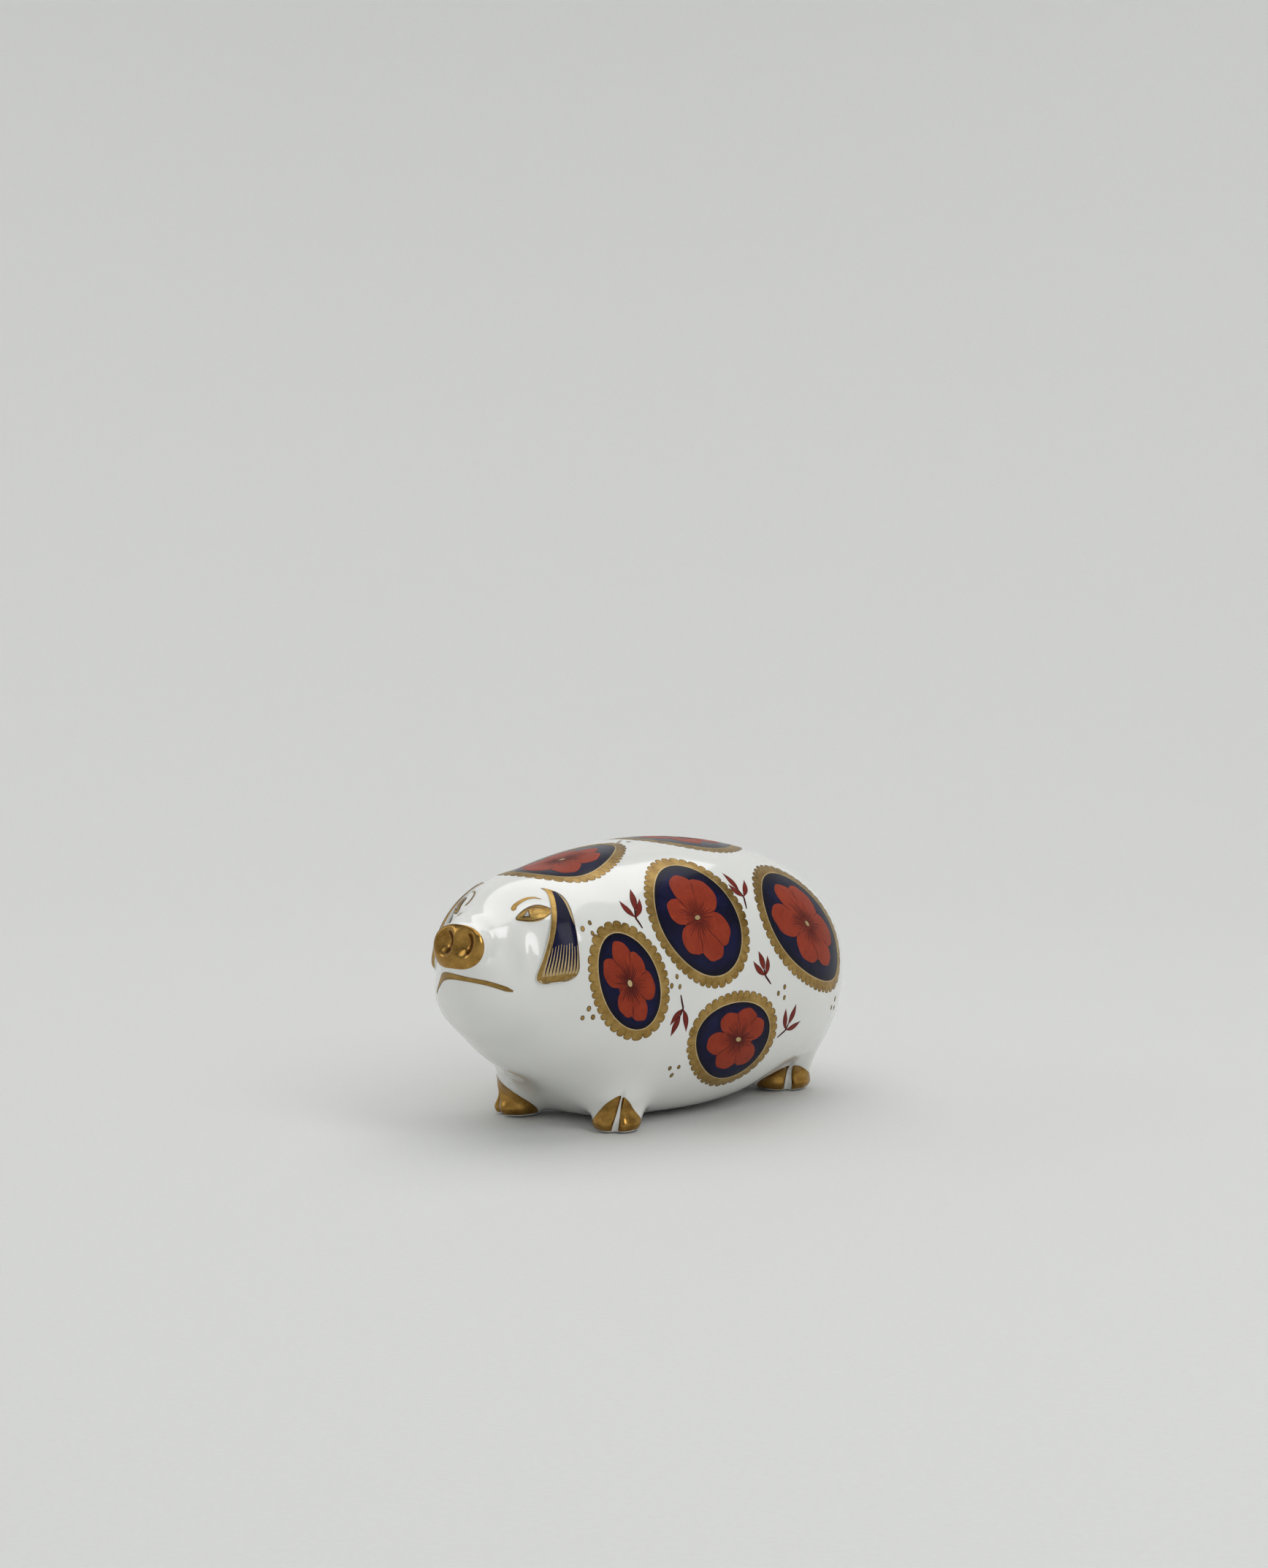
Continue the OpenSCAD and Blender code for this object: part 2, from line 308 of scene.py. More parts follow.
class Layer:
    """One coat of paint or gilding: many thin patches gathered into one object."""

    def __init__(self, lift, skirt=0.09):
        self.lift, self.skirt = lift, skirt
        self.points, self.faces, self.tone, self.normals = [], [], [], []
        self.count = 0

    def _add(self, points, faces, tone, normals):
        self.points.append(points)
        self.faces.append(np.asarray(faces) + self.count)
        self.tone.append(tone)
        self.normals.append(normals)
        self.count += len(points)

    def sheet(self, raw, along=None, tone=0.0, closed=False, mirror=True, lift=0.0, filled=False):
        """A grid of raw points (rows, columns, 3) laid on the skin, with its edges turned down.
        closed joins the last column to the first; filled means row 0 is a single point."""
        laid = settle(raw, self.lift + lift, along)
        self._patch(laid, unit(slope(skin, laid)[1]), tone, closed, mirror, lift, filled)

    def _patch(self, laid, normal, tone, closed=False, mirror=True, lift=0.0, filled=False):
        rows, columns = laid.shape[:2]
        tone = np.broadcast_to(np.asarray(tone, float), (rows, columns))
        down = laid - normal * (self.skirt + lift)
        index = np.arange(rows * columns).reshape(rows, columns)
        i, j = np.arange(rows - 1), np.arange(columns if closed else columns - 1)
        k = (j + 1) % columns
        faces = [np.stack([index[r, j], index[r + 1, j], index[r + 1, k], index[r, k]], 1)
                 for r in i]
        points, tones, normals = [laid.reshape(-1, 3)], [tone.reshape(-1)], [normal.reshape(-1, 3)]
        base = rows * columns
        edges = [(np.s_[-1], j, 1)] + ([] if filled else [(np.s_[0], j, -1)])
        if not closed:
            edges += [(np.s_[:, 0], i, -1), (np.s_[:, -1], i, 1)]
        for edge, start, way in edges:
            rim = index[edge]
            stop, low = (start + 1) % len(rim), base + np.arange(len(rim))
            points.append(down[edge])
            tones.append(tone[edge])
            normals.append(normal[edge])
            quad = np.stack([rim[start], low[start], low[stop], rim[stop]], 1)
            faces.append(quad[:, ::way])
            base += len(rim)
        points, faces = np.concatenate(points), np.concatenate(faces)
        tones, normals = np.concatenate(tones), np.concatenate(normals)
        middle = faces[len(faces) // 3]
        faces = facing(points, faces, middle, normals[middle[0]])
        self._add(points, faces, tones, normals)
        if mirror:
            flip = np.array([-1, 1, 1])
            self._add(points * flip, faces[:, ::-1], tones, normals * flip)

    def strokes(self, lines, widths, tone=0.0, columns=5, mirror=True, edge=0.0):
        """Brush strokes along 3D lines (stroke, point, 3), as wide at each point as widths says.
        edge darkens the two sides of a stroke."""
        lines = settle(np.asarray(lines, float), 0.0, steps=3)
        normal = unit(slope(skin, lines)[1])
        across = unit(np.cross(unit(np.gradient(lines, axis=1)), normal))
        t = np.linspace(-0.5, 0.5, columns)
        reach = t * np.asarray(widths)[..., None]
        raw = lines[:, :, None] + across[:, :, None] * reach[..., None]
        laid = settle(raw, self.lift, steps=3)
        normal = unit(slope(skin, laid)[1])
        shade = tone + edge * np.abs(2 * t) ** 3
        for one, n in zip(laid, normal):
            self._patch(one, n, np.clip(shade, 0, 1)[None, :], mirror=mirror)

    def stroke(self, line, widths, **kw):
        """One brush stroke."""
        self.strokes(np.asarray(line, float)[None], np.asarray(widths)[None], **kw)

    def build(self, name, material, slot=None):
        """The coat as one object that rides on the pig."""
        obj = make_object(name, np.concatenate(self.points), np.concatenate(self.faces), material,
                          np.concatenate(self.tone), np.concatenate(self.normals))
        clean(obj)
        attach(obj, "pig")


def clean(obj):
    """Drops faces with no area, such as those at the centre of a filled patch."""
    bm = bmesh.new()
    bm.from_mesh(obj.data)
    bmesh.ops.dissolve_degenerate(bm, dist=1e-7, edges=bm.edges)
    bm.to_mesh(obj.data)
    bm.free()


def curve_through(points, count):
    """Points along a smooth Catmull-Rom line through the given ones."""
    p = np.asarray(points, float)
    p = np.vstack([2 * p[0] - p[1], p, 2 * p[-1] - p[-2]])
    knots = len(p) - 3
    t = np.linspace(0, knots, count)
    i = np.minimum(t.astype(int), knots - 1)
    u = (t - i)[:, None]
    a, b, c, d = p[i], p[i + 1], p[i + 2], p[i + 3]
    return 0.5 * ((2 * b) + (c - a) * u + (2 * a - 5 * b + 4 * c - d) * u ** 2
                  + (3 * b - a - 3 * c + d) * u ** 3)


def taper(count, start, end, full):
    """Widths of a brush stroke, 1 in its middle and narrower at both ends."""
    s = np.linspace(0, 1, count)
    rise, fall = (np.sin(np.clip(v / full, 0, 1) * math.pi / 2) for v in (s, 1 - s))
    return (start + (1 - start) * rise) * (end + (1 - end) * fall)


# ---------------------------------------------------------------- materials

class Finish:
    """A node material with short ways to build its procedural detail."""

    def __init__(self, name, **fixed):
        self.material = bpy.data.materials.new(name)
        self.material.use_nodes = True
        self.tree = self.material.node_tree
        self.shader = self.tree.nodes["Principled BSDF"]
        for socket, value in fixed.items():
            self.shader.inputs[socket.replace("_", " ")].default_value = value
        self.where = self.node("ShaderNodeTexCoord").outputs["Object"]

    def node(self, kind, **settings):
        n = self.tree.nodes.new(kind)
        for key, value in settings.items():
            setattr(n, key, value)
        return n

    def feed(self, socket, value):
        if hasattr(value, "is_output"):
            self.tree.links.new(value, socket)
        else:
            socket.default_value = value

    def noise(self, scale, detail=3.0, roughness=0.5, stretch=None, distortion=0.0):
        where = self.where
        if stretch:
            mapping = self.node("ShaderNodeMapping")
            mapping.inputs["Scale"].default_value = stretch
            self.feed(mapping.inputs["Vector"], where)
            where = mapping.outputs["Vector"]
        n = self.node("ShaderNodeTexNoise")
        self.feed(n.inputs["Vector"], where)
        for key, value in (("Scale", scale), ("Detail", detail), ("Roughness", roughness),
                           ("Distortion", distortion)):
            n.inputs[key].default_value = value
        return n.outputs["Fac"]

    def cells(self, scale):
        n = self.node("ShaderNodeTexVoronoi")
        self.feed(n.inputs["Vector"], self.where)
        n.inputs["Scale"].default_value = scale
        return n.outputs["Distance"]

    def tone(self):
        return self.node("ShaderNodeAttribute", attribute_name="tone").outputs["Fac"]

    def ramp(self, fac, stops):
        n = self.node("ShaderNodeValToRGB")
        self.feed(n.inputs["Fac"], fac)
        ramp = n.color_ramp
        while len(ramp.elements) < len(stops):
            ramp.elements.new(0.5)
        for element, (place, colour) in zip(ramp.elements, stops):
            element.position = place
            element.color = (*colour, 1)
        return n.outputs["Color"]

    def mix(self, fac, a, b, blend="MIX"):
        n = self.node("ShaderNodeMix", data_type="RGBA", blend_type=blend)
        self.feed(n.inputs[0], fac)
        for socket, value in ((n.inputs[6], a), (n.inputs[7], b)):
            self.feed(socket, (*value, 1) if isinstance(value, tuple) else value)
        return n.outputs[2]

    def math(self, operation, a, b=0.0):
        n = self.node("ShaderNodeMath", operation=operation)
        self.feed(n.inputs[0], a)
        self.feed(n.inputs[1], b)
        return n.outputs[0]

    def span(self, value, low, high):
        n = self.node("ShaderNodeMapRange")
        self.feed(n.inputs["Value"], value)
        n.inputs["To Min"].default_value, n.inputs["To Max"].default_value = low, high
        return n.outputs["Result"]

    def bump(self, *heights):
        """Each height is (socket, distance in mm)."""
        last = None
        for height, distance in heights:
            n = self.node("ShaderNodeBump")
            n.inputs["Distance"].default_value = distance * MM
            self.feed(n.inputs["Height"], height)
            if last is not None:
                self.feed(n.inputs["Normal"], last)
            last = n.outputs["Normal"]
        self.feed(self.shader.inputs["Normal"], last)

    def set(self, **sockets):
        for key, value in sockets.items():
            self.feed(self.shader.inputs[key.replace("_", " ")], value)
        return self.material


def white_glaze():
    """Bone china under a clear glaze, with faint clouds and a few specks."""
    f = Finish("white_glaze", Coat_Weight=0.6, Coat_Roughness=0.03, IOR=1.5,
               Subsurface_Weight=0.06, Subsurface_Scale=0.002)
    f.shader.inputs["Subsurface Radius"].default_value = (1.0, 0.8, 0.6)
    clay = f.ramp(f.noise(38, 2), [(0.35, (0.735, 0.74, 0.712)), (0.65, (0.79, 0.793, 0.768))])
    speck = f.ramp(f.cells(180), [(0.0, (0.55, 0.5, 0.42)), (0.035, (1, 1, 1))])
    colour = f.mix(0.35, clay, f.mix(1.0, clay, speck, "MULTIPLY"))
    f.bump((f.noise(55, 2), 0.06), (f.noise(420, 2), 0.002))
    return f.set(Base_Color=colour, Roughness=f.span(f.noise(90, 3), 0.10, 0.2))


def gilding(name, dark, light, rough, streaks, metallic=1.0):
    """Burnished or brushed gold: streaks of thin and thick paint, darker where tone is 1."""
    f = Finish(name, Metallic=metallic, IOR=1.45)
    broad = f.noise(260, 4, 0.6, distortion=0.6)
    fine = f.noise(1900, 4, 0.65, stretch=(1, 0.35, 1.6))
    blend = f.math("ADD", f.math("MULTIPLY", broad, 0.62), f.math("MULTIPLY", fine, 0.38))
    colour = f.ramp(blend, [(0.34, dark), (0.62, light)])
    # Where tone is high the gold turns darker: dark painted lines along borders, notches and stroke
    # sides, darker edges of the toe gold, and painted shade and reflection over the upper part of
    # each eye.
    dark_line_and_shade = f.mix(1.0, colour, (0.40, 0.33, 0.26), "MULTIPLY")
    colour = f.mix(f.math("MULTIPLY", f.tone(), 0.85), colour, dark_line_and_shade)
    f.bump((fine, 0.006 * streaks), (broad, 0.012 * streaks))
    return f.set(Base_Color=colour, Roughness=f.span(fine, rough - 0.07, rough + 0.12))


def cobalt():
    """Cobalt blue, nearly black where the brush laid it thickly at the edges."""
    f = Finish("cobalt_blue", Coat_Weight=0.06, Coat_Roughness=0.04, IOR=1.45,
               Specular_IOR_Level=0.12)
    wash = f.noise(150, 4, 0.6, distortion=0.4)
    colour = f.ramp(wash, [(0.35, (0.003, 0.003, 0.016)), (0.7, (0.008, 0.008, 0.045))])
    edge = f.mix(f.tone(), colour, (0.002, 0.002, 0.006))
    f.bump((f.noise(70, 2), 0.05), (f.noise(900, 3), 0.0025))
    return f.set(Base_Color=edge, Roughness=f.span(wash, 0.16, 0.3))


def iron_red():
    """Thin red enamel: orange where it is thin at the petals' edges, deeper near the middle."""
    f = Finish("iron_red", Coat_Weight=0.04, Coat_Roughness=0.12, IOR=1.45, Specular_IOR_Level=0.14)
    wash = f.noise(420, 4, 0.6, distortion=0.8)
    thin = f.ramp(wash, [(0.3, (0.23, 0.028, 0.011)), (0.72, (0.32, 0.042, 0.016))])
    deep = f.ramp(wash, [(0.3, (0.13, 0.014, 0.007)), (0.72, (0.19, 0.022, 0.010))])
    f.bump((f.noise(1300, 3, stretch=(1, 1, 0.5)), 0.004), (wash, 0.006))
    return f.set(Base_Color=f.mix(f.tone(), thin, deep), Roughness=f.span(wash, 0.3, 0.45))


def dark_red():
    f = Finish("dark_red", Coat_Weight=0.04, Coat_Roughness=0.15, IOR=1.45, Specular_IOR_Level=0.15)
    wash = f.noise(900, 4, 0.6)
    colour = f.ramp(wash, [(0.3, (0.135, 0.013, 0.009)), (0.7, (0.215, 0.024, 0.013))])
    f.bump((wash, 0.004))
    return f.set(Base_Color=f.mix(f.tone(), colour, (0.030, 0.004, 0.004)),
                 Roughness=f.span(wash, 0.3, 0.5))


def brown_line():
    f = Finish("brown_line", Coat_Weight=0.05, Coat_Roughness=0.15, IOR=1.45,
               Specular_IOR_Level=0.2)
    wash = f.noise(1400, 3)
    colour = f.ramp(wash, [(0.3, (0.045, 0.022, 0.010)), (0.7, (0.10, 0.055, 0.025))])
    return f.set(Base_Color=colour, Roughness=f.span(wash, 0.25, 0.4))


# The pupil is white china left bare; its grey is painted shade, the white as it looks in the shadow
# of the eye.
def pupil_painted_shade():
    f = Finish("pupil_painted_shade", Coat_Weight=0.5, Coat_Roughness=0.08, IOR=1.5)
    wash = f.noise(1200, 3)
    colour = f.ramp(wash, [(0.3, (0.30, 0.30, 0.29)), (0.7, (0.42, 0.42, 0.41))])
    return f.set(Base_Color=colour, Roughness=f.span(wash, 0.2, 0.35))


def rubber():
    f = Finish("grey_rubber", IOR=1.5)
    grain = f.noise(2600, 4)
    f.bump((grain, 0.02), (f.noise(300, 2), 0.02))
    colour = f.ramp(grain, [(0.3, (0.02, 0.02, 0.021)), (0.7, (0.045, 0.045, 0.046))])
    return f.set(Base_Color=colour, Roughness=f.span(grain, 0.55, 0.75))


def sand():
    f = Finish("dry_sand", IOR=1.5)
    grains = f.cells(1500)
    f.bump((grains, 0.25), (f.noise(90, 3), 0.6))
    colour = f.ramp(grains, [(0.0, (0.50, 0.39, 0.24)), (0.8, (0.68, 0.57, 0.38))])
    return f.set(Base_Color=colour, Roughness=0.9)


def backdrop_paper():
    f = Finish("pale_paper", IOR=1.4)
    fibre = f.noise(900, 4)
    f.bump((fibre, 0.03))
    colour = f.ramp(fibre, [(0.3, (0.66, 0.665, 0.655)), (0.7, (0.68, 0.685, 0.675))])
    return f.set(Base_Color=colour, Roughness=f.span(fibre, 0.7, 0.8))


WHITE = white_glaze()
# gold_paint and gold_burnished have dark brown base colours: painted reflection, standing in for
# the dark surroundings that real gilding reflects.
GOLD_PAINT = gilding("gold_paint", (0.21, 0.122, 0.03), (0.45, 0.295, 0.10), 0.33, 1.3)
GOLD_BRIGHT = gilding("gold_burnished", (0.20, 0.10, 0.022), (0.42, 0.245, 0.065), 0.17, 0.8)
GOLD_PALE = gilding("gold_pale", (0.40, 0.28, 0.13), (0.60, 0.46, 0.25), 0.4, 0.6, metallic=0.7)
COBALT = cobalt()
RED = iron_red()
RED_DARK = dark_red()
PUPIL_SHADE = pupil_painted_shade()
BROWN = brown_line()


# ---------------------------------------------------------------- the moulded parts

def ring_faces(rings, sides):
    """Faces of a closed tube of rings of points, with its two ends capped."""
    faces = [[i * sides + j, i * sides + (j + 1) % sides, (i + 1) * sides + (j + 1) % sides,
              (i + 1) * sides + j] for i in range(rings - 1) for j in range(sides)]
    return faces + [list(range(sides))[::-1], [(rings - 1) * sides + j for j in range(sides)]]


def lathe(profile, centre):
    """A closed turned solid from (radius, height) pairs, bottom to top."""
    segments = 96
    a = np.linspace(0, TAU, segments, endpoint=False)
    rings = [np.stack([centre[0] + r * np.cos(a), centre[1] + r * np.sin(a),
                       np.full(segments, z)], 1) for r, z in profile]
    return np.concatenate(rings), ring_faces(len(profile), segments)


def smooth_skin_normals(obj, f):
    """Exact normals where a face lies on the skin, and flat ones where it was cut."""
    def read(rows, attribute, width, kind=float):
        out = np.zeros(len(rows) * width, kind)
        rows.foreach_get(attribute, out)
        return out.reshape(-1, width) if width > 1 else out

    mesh = obj.data
    value, g = slope(f, read(mesh.vertices, "co", 3) / MM)
    on_skin, normal = np.abs(value) < 0.05, unit(g)
    loops = read(mesh.loops, "vertex_index", 1, int)
    per_loop = np.repeat(read(mesh.polygons, "normal", 3),
                         read(mesh.polygons, "loop_total", 1, int), axis=0)
    follow = on_skin[loops] & ((per_loop * normal[loops]).sum(1) > 0.8)
    per_loop[follow] = normal[loops][follow]
    mesh.normals_split_custom_set(per_loop.tolist())


def body():
    """The hollow china body, with the bore for the stopper cut through the belly."""
    outside, faces = surface_net(grounded, (-34, -59, -1.3), (34, 59, 61), 0.55, 3.2)
    outside = settle(outside, f=grounded, steps=3)
    inside, inner_faces = surface_net(hollow, (-31, -56, 2), (31, 56, 58), 1.6, 9.0)
    inside = settle(inside, f=hollow, steps=2)
    obj = make_object("china_body", np.concatenate([outside, inside]),
                      np.concatenate([faces, inner_faces[:, ::-1] + len(outside)]), WHITE)
    profile = [(RECESS_R, -3), (RECESS_R, RECESS_TOP), (BORE_R, RECESS_TOP), (BORE_R, 12)]
    cutter = make_object("cutter", *lathe(profile, (0, STOPPER_Y)), WHITE)
    cut = obj.modifiers.new("bore", "BOOLEAN")
    cut.operation, cut.solver, cut.object = "DIFFERENCE", "EXACT", cutter
    mesh = bpy.data.meshes.new_from_object(obj.evaluated_get(bpy.context.evaluated_depsgraph_get()))
    obj.modifiers.clear()
    obj.data = mesh
    bpy.data.objects.remove(cutter)
    smooth_skin_normals(obj, grounded)
    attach(obj, "pig")
    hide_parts("body_shell")


# The left ear: where its tip is, which way it hangs and spreads, and its size.
EAR_TIP = np.array([8.5, -38.6, 53.3])
EAR_DOWN = np.array([0.425, -0.252, -0.869])
EAR_ACROSS = np.array([0.49, 0.867, 0.02])
EAR_OUT = unit(np.cross(EAR_DOWN, EAR_ACROSS))
EAR_LENGTH = 21.0
EAR_THICKNESS = 1.05
EAR_BAND = 1.1          # width of the gold along the front edge


def ear_edges(s):
    """The front and back edges of the ear, in mm across from its middle line."""
    return (1.1 - 6.3 * s * s) * (1 - np.exp(-26 * s)), 5.0 * (1 - np.exp(-12 * s))


def ear_place(s, t):
    """The flat place of a point of the ear: s down its length, t across (-1 front, 1 back)."""
    end = np.clip((s - 0.86) / 0.14, 0, 1)
    width = (1.001 - end ** 3) ** (1 / 3)
    front, back = ear_edges(s)
    across = ((front + back) / 2 + t * (back - front) / 2 * width)[..., None] * EAR_ACROSS
    return EAR_TIP + EAR_DOWN * (s * EAR_LENGTH)[..., None] + across


def ear_level(s, t):
    """How far the outside of the ear stands off the skin."""
    end = np.clip((s - 0.84) / 0.16, 0, 1)
    edge = np.clip(1 - (np.abs(t) ** 5 + end ** 4), 0, 1)
    rise = 0.12 + 0.88 * np.clip(s / 0.8, 0, 1) ** 1.3
    return LUTING * rise + EAR_THICKNESS * rise * (0.25 + 0.75 * np.sqrt(edge))


def ear_point(s, t, lift=0.0, level=None):
    """Points above the ear's outside, or at a level above the plain skin."""
    level = ear_level(s, t) + lift if level is None else level
    return settle(ear_place(s, t), level, EAR_OUT, f=lambda p: skin(p, relief=False), steps=8)


def ear_coat(s, t, top, bottom):
    """A thin coat on the ear between two heights above its outside."""
    return slab(ear_point(s, t, top), ear_point(s, t, bottom))


def ear_stroke(s, t, wide):
    """A thin stroke down the ear, with its middle at t and wide to each side."""
    share = np.linspace(-1, 1, 5)[None, :]
    return ear_coat(s[:, None] * np.ones((1, 5)), t[:, None] + wide[:, None] * share, 0.09, 0.0)


def both_ways(down, across):
    """Two grids of the same shape from places down and across the ear."""
    return down[:, None] * np.ones(len(across)), across[None, :] * np.ones((len(down), 1))


def slab(place, under):
    """Points and faces of a closed slab between two grids of the same shape."""
    rows, columns = place.shape[:2]
    index = np.arange(rows * columns).reshape(rows, columns)
    top = np.stack([index[:-1, :-1], index[1:, :-1], index[1:, 1:], index[:-1, 1:]], -1)
    top = top.reshape(-1, 4)
    bottom = top[:, ::-1] + rows * columns
    ring = np.concatenate([index[0, :-1], index[:-1, -1], index[-1, :0:-1], index[:0:-1, 0]])
    after = np.roll(ring, -1)
    side = np.stack([ring, after, after + rows * columns, ring + rows * columns], 1)
    points = np.concatenate([place.reshape(-1, 3), under.reshape(-1, 3)])
    faces = np.concatenate([top, bottom, side])
    middle = top[len(top) // 2]
    out = points[middle[0]] - points[middle[0] + rows * columns]
    return points, facing(points, faces, middle, out)


def ear_object(name, points, faces, side, material, node=None, slot=GILT):
    """One piece of the left ear, or its mirror image on the right."""
    obj = make_object(name, points * np.array([side, 1, 1]), faces[:, ::side], material)
    clean(obj)
    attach(obj, "pig")
    if node:
        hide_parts(node)


def gather(slabs):
    """Several slabs as one."""
    points, faces, count = [], [], 0
    for p, f in slabs:
        points.append(p)
        faces.append(f + count)
        count += len(p)
    return np.concatenate(points), np.concatenate(faces)


def ears():
    """Both ears: a gilded leaf, its cobalt panel, tines from the hem and fine hairs at the back."""
    down, across = np.linspace(0, 1, 90), np.sin(np.linspace(-1, 1, 36) * math.pi / 2)
    s, t = both_ways(down ** 1.25 * 0.995 + 0.005, across)
    leaf = slab(ear_point(s, t), ear_point(s, t, level=-0.3))
    s, t = both_ways(0.01 + 0.986 * down ** 1.1, 0.985 * across)
    gilded = ear_coat(s, t, 0.03, -0.12)

    s, share = both_ways(np.linspace(0.07, 0.925, 76), np.linspace(0, 1, 26))
    front, back = ear_edges(s)
    start = -1 + 2.0 * EAR_BAND / (back - front)
    stop = 0.93 - 0.12 * np.exp(-(s - 0.07) / 0.06)
    panel = ear_coat(s, start + (stop - start) * share, 0.06, -0.05)

    draws = np.random.default_rng(5)
    hem, tines, hairs = 0.95, [], []
    for i, start in enumerate(np.linspace(-0.72, 0.84, 11)):
        top = (0.60 if i == 0 else 0.67) + 0.035 * draws.random()
        s = np.linspace(hem, top, 26)
        wide = 0.068 * (0.20 + 0.75 * ((s - top) / (hem - top)) ** 1.5)
        tines.append(ear_stroke(s, start + (s - hem) * (0.10 - 0.22 * start), wide))
    share = np.linspace(0, 1, 18)
    for i in range(9):
        begin = 0.09 + 0.03 * i
        s = np.linspace(begin, begin + 0.15 + 0.05 * draws.random(), 18)
        lean = 0.90 - (0.62 - 0.05 * i) * (1 - share) ** 0.9 * (0.55 + 0.05 * i)
        wide = 0.045 * np.sin(math.pi * np.clip(share, 0.04, 0.96)) + 0.008
        hairs.append(ear_stroke(s, lean, wide))
    for side, label in ((1, "left"), (-1, "right")):
        ear_object(f"{label}_ear_leaf", *leaf, side, WHITE, f"{label}_ear", CHINA)
        ear_object(f"{label}_ear_gilding", *gilded, side, GOLD_PAINT)
        ear_object(f"{label}_ear_panel", *panel, side, COBALT, slot=ENAMEL)
        ear_object(f"{label}_ear_tines", *gather(tines), side, GOLD_PALE)
        ear_object(f"{label}_ear_hairs", *gather(hairs), side, GOLD_PALE)


def tail():
    """The curled tail, a tapering cord laid on the rump."""
    rows, sides = 120, 20
    s = np.linspace(0, 1, rows)
    a, r = np.radians(90 + 450 * s), 4.5 * (1 - 0.73 * s)
    thick = 1.6 * (1 - 0.55 * s)
    round_end = np.clip(1 - np.clip((s - 0.965) / 0.035, 0, 1) ** 2, 0.02, 1)
    radius = thick * np.sqrt(round_end)
    line = np.stack([r * np.cos(a), np.full(rows, 52.0), 45 + r * np.sin(a)], 1)
    for _ in range(14):
        line[:, 1] -= 0.9 * (skin(line) - LUTING - thick)
    along = unit(np.gradient(line, axis=0))
    side = unit(np.cross(along, [0, 1, 0]))
    out = np.cross(side, along)
    b = np.linspace(0, TAU, sides, endpoint=False)
    ring = side[:, None] * np.cos(b)[:, None] + out[:, None] * np.sin(b)[:, None]
    points = (line[:, None, :] + ring * radius[:, None, None]).reshape(-1, 3)
    obj = make_object("curled_tail", points, ring_faces(rows, sides), WHITE)
    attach(obj, "pig")
    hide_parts("tail")


# ---------------------------------------------------------------- painted decoration

BORDER = 1.7            # width of a medallion's gold border without its scallops
SCALLOP = 1.72          # length of one scallop
DOT_SPREAD = 1.35       # from the middle of three dots to each


class Chart:
    """A flat chart touching the skin at a point: x to the right and y up, seen from outside."""

    def __init__(self, centre, up=(0, 0, 1), turn=0.0, shift=(0, 0)):
        self.centre = settle(np.array([centre], float))[0]
        self.normal = unit(slope(skin, self.centre[None])[1])[0]
        self.up = unit(up - self.normal * (self.normal @ up))
        self.right = np.cross(self.up, self.normal)
        self.turn, self.shift = math.radians(turn), np.array(shift, float)

    def at(self, x, y):
        """Points beside the skin from places on the chart."""
        c, s = math.cos(self.turn), math.sin(self.turn)
        h = self.shift[0] + x * c + y * s
        v = self.shift[1] - x * s + y * c
        return self.centre + h[..., None] * self.right + v[..., None] * self.up


class Egg:
    """Outline of a medallion: half width a, half length c, wider towards one end by k."""

    def __init__(self, chart, a, c, k):
        self.chart, self.a, self.c, self.k = chart, a, c, k
        phi = np.linspace(0, TAU, 721)
        x, y = self._raw(phi)
        length = np.concatenate([[0], np.cumsum(np.hypot(np.diff(x), np.diff(y)))])
        self.length, self._phi, self._s = length[-1], phi, length / length[-1]

    def _raw(self, phi):
        return self.a * np.sin(phi) * (1 + self.k * np.cos(phi)), self.c * np.cos(phi)

    def edge(self, share, out):
        """Points at a share of the way round, moved outwards by out mm."""
        phi = np.interp(np.mod(share, 1), self._s, self._phi)
        x, y = self._raw(phi)
        x2, y2 = self._raw(phi + 1e-3)
        d = np.hypot(x2 - x, y2 - y)
        return x - (y2 - y) / d * out, y + (x2 - x) / d * out

    def unit(self, ux, uy):
        """Chart place of a point given on the unit disc that the egg is stretched from."""
        return self.a * ux * (1 + self.k * uy), self.c * uy

    def polar(self, radius, angle, middle):
        """Places on the skin's chart, given by radius and angle round a middle on the unit disc."""
        return self.chart.at(*self.unit(middle[0] + radius * np.sin(angle),
                                        middle[1] + radius * np.cos(angle)))


def petal_radius(phi, petals):
    """Outline of the flower: rounded lobes with notches between them."""
    mean = sum(r for _, r in petals) / len(petals)
    out = np.full(phi.shape, 0.50 * mean)
    for angle, tip in petals:
        d, r = 0.63 * tip, 0.37 * tip
        delta = np.mod(phi - math.radians(angle) + math.pi, TAU) - math.pi
        inside = np.clip(r * r - (d * np.sin(delta)) ** 2, 0, None)
        hit = (np.abs(d * np.sin(delta)) < r) & (np.abs(delta) < 1.2)
        out = np.where(hit, np.maximum(out, d * np.cos(delta) + np.sqrt(inside)), out)
    return out


def disc(rows, columns):
    """A unit disc as rings about its middle."""
    f = np.linspace(0, 1, rows)[:, None]
    a = np.linspace(0, TAU, columns, endpoint=False)[None]
    return f * np.sin(a), f * np.cos(a)


def scallops(egg, draws):
    """The scalloped outline round an egg: how far round it each point is, how far out, and how
    near to a notch between two scallops."""
    count, per = max(20, int(round(egg.length / SCALLOP))), 9
    cuts = np.sort((np.arange(count) + 0.18 * (draws.random(count) - 0.5)) / count)
    heights = 0.66 + 0.16 * draws.random(count)
    f = np.arange(per) / per
    length = np.diff(np.append(cuts, cuts[0] + 1))
    share = cuts[:, None] + length[:, None] * f
    out = BORDER - 0.1 + heights[:, None] * (1 - np.abs(2 * f - 1) ** 2.2) ** 0.5
    notch = np.tile(bump(np.minimum(f, 1 - f), 0.12), count)
    return share.reshape(-1), out.reshape(-1), notch


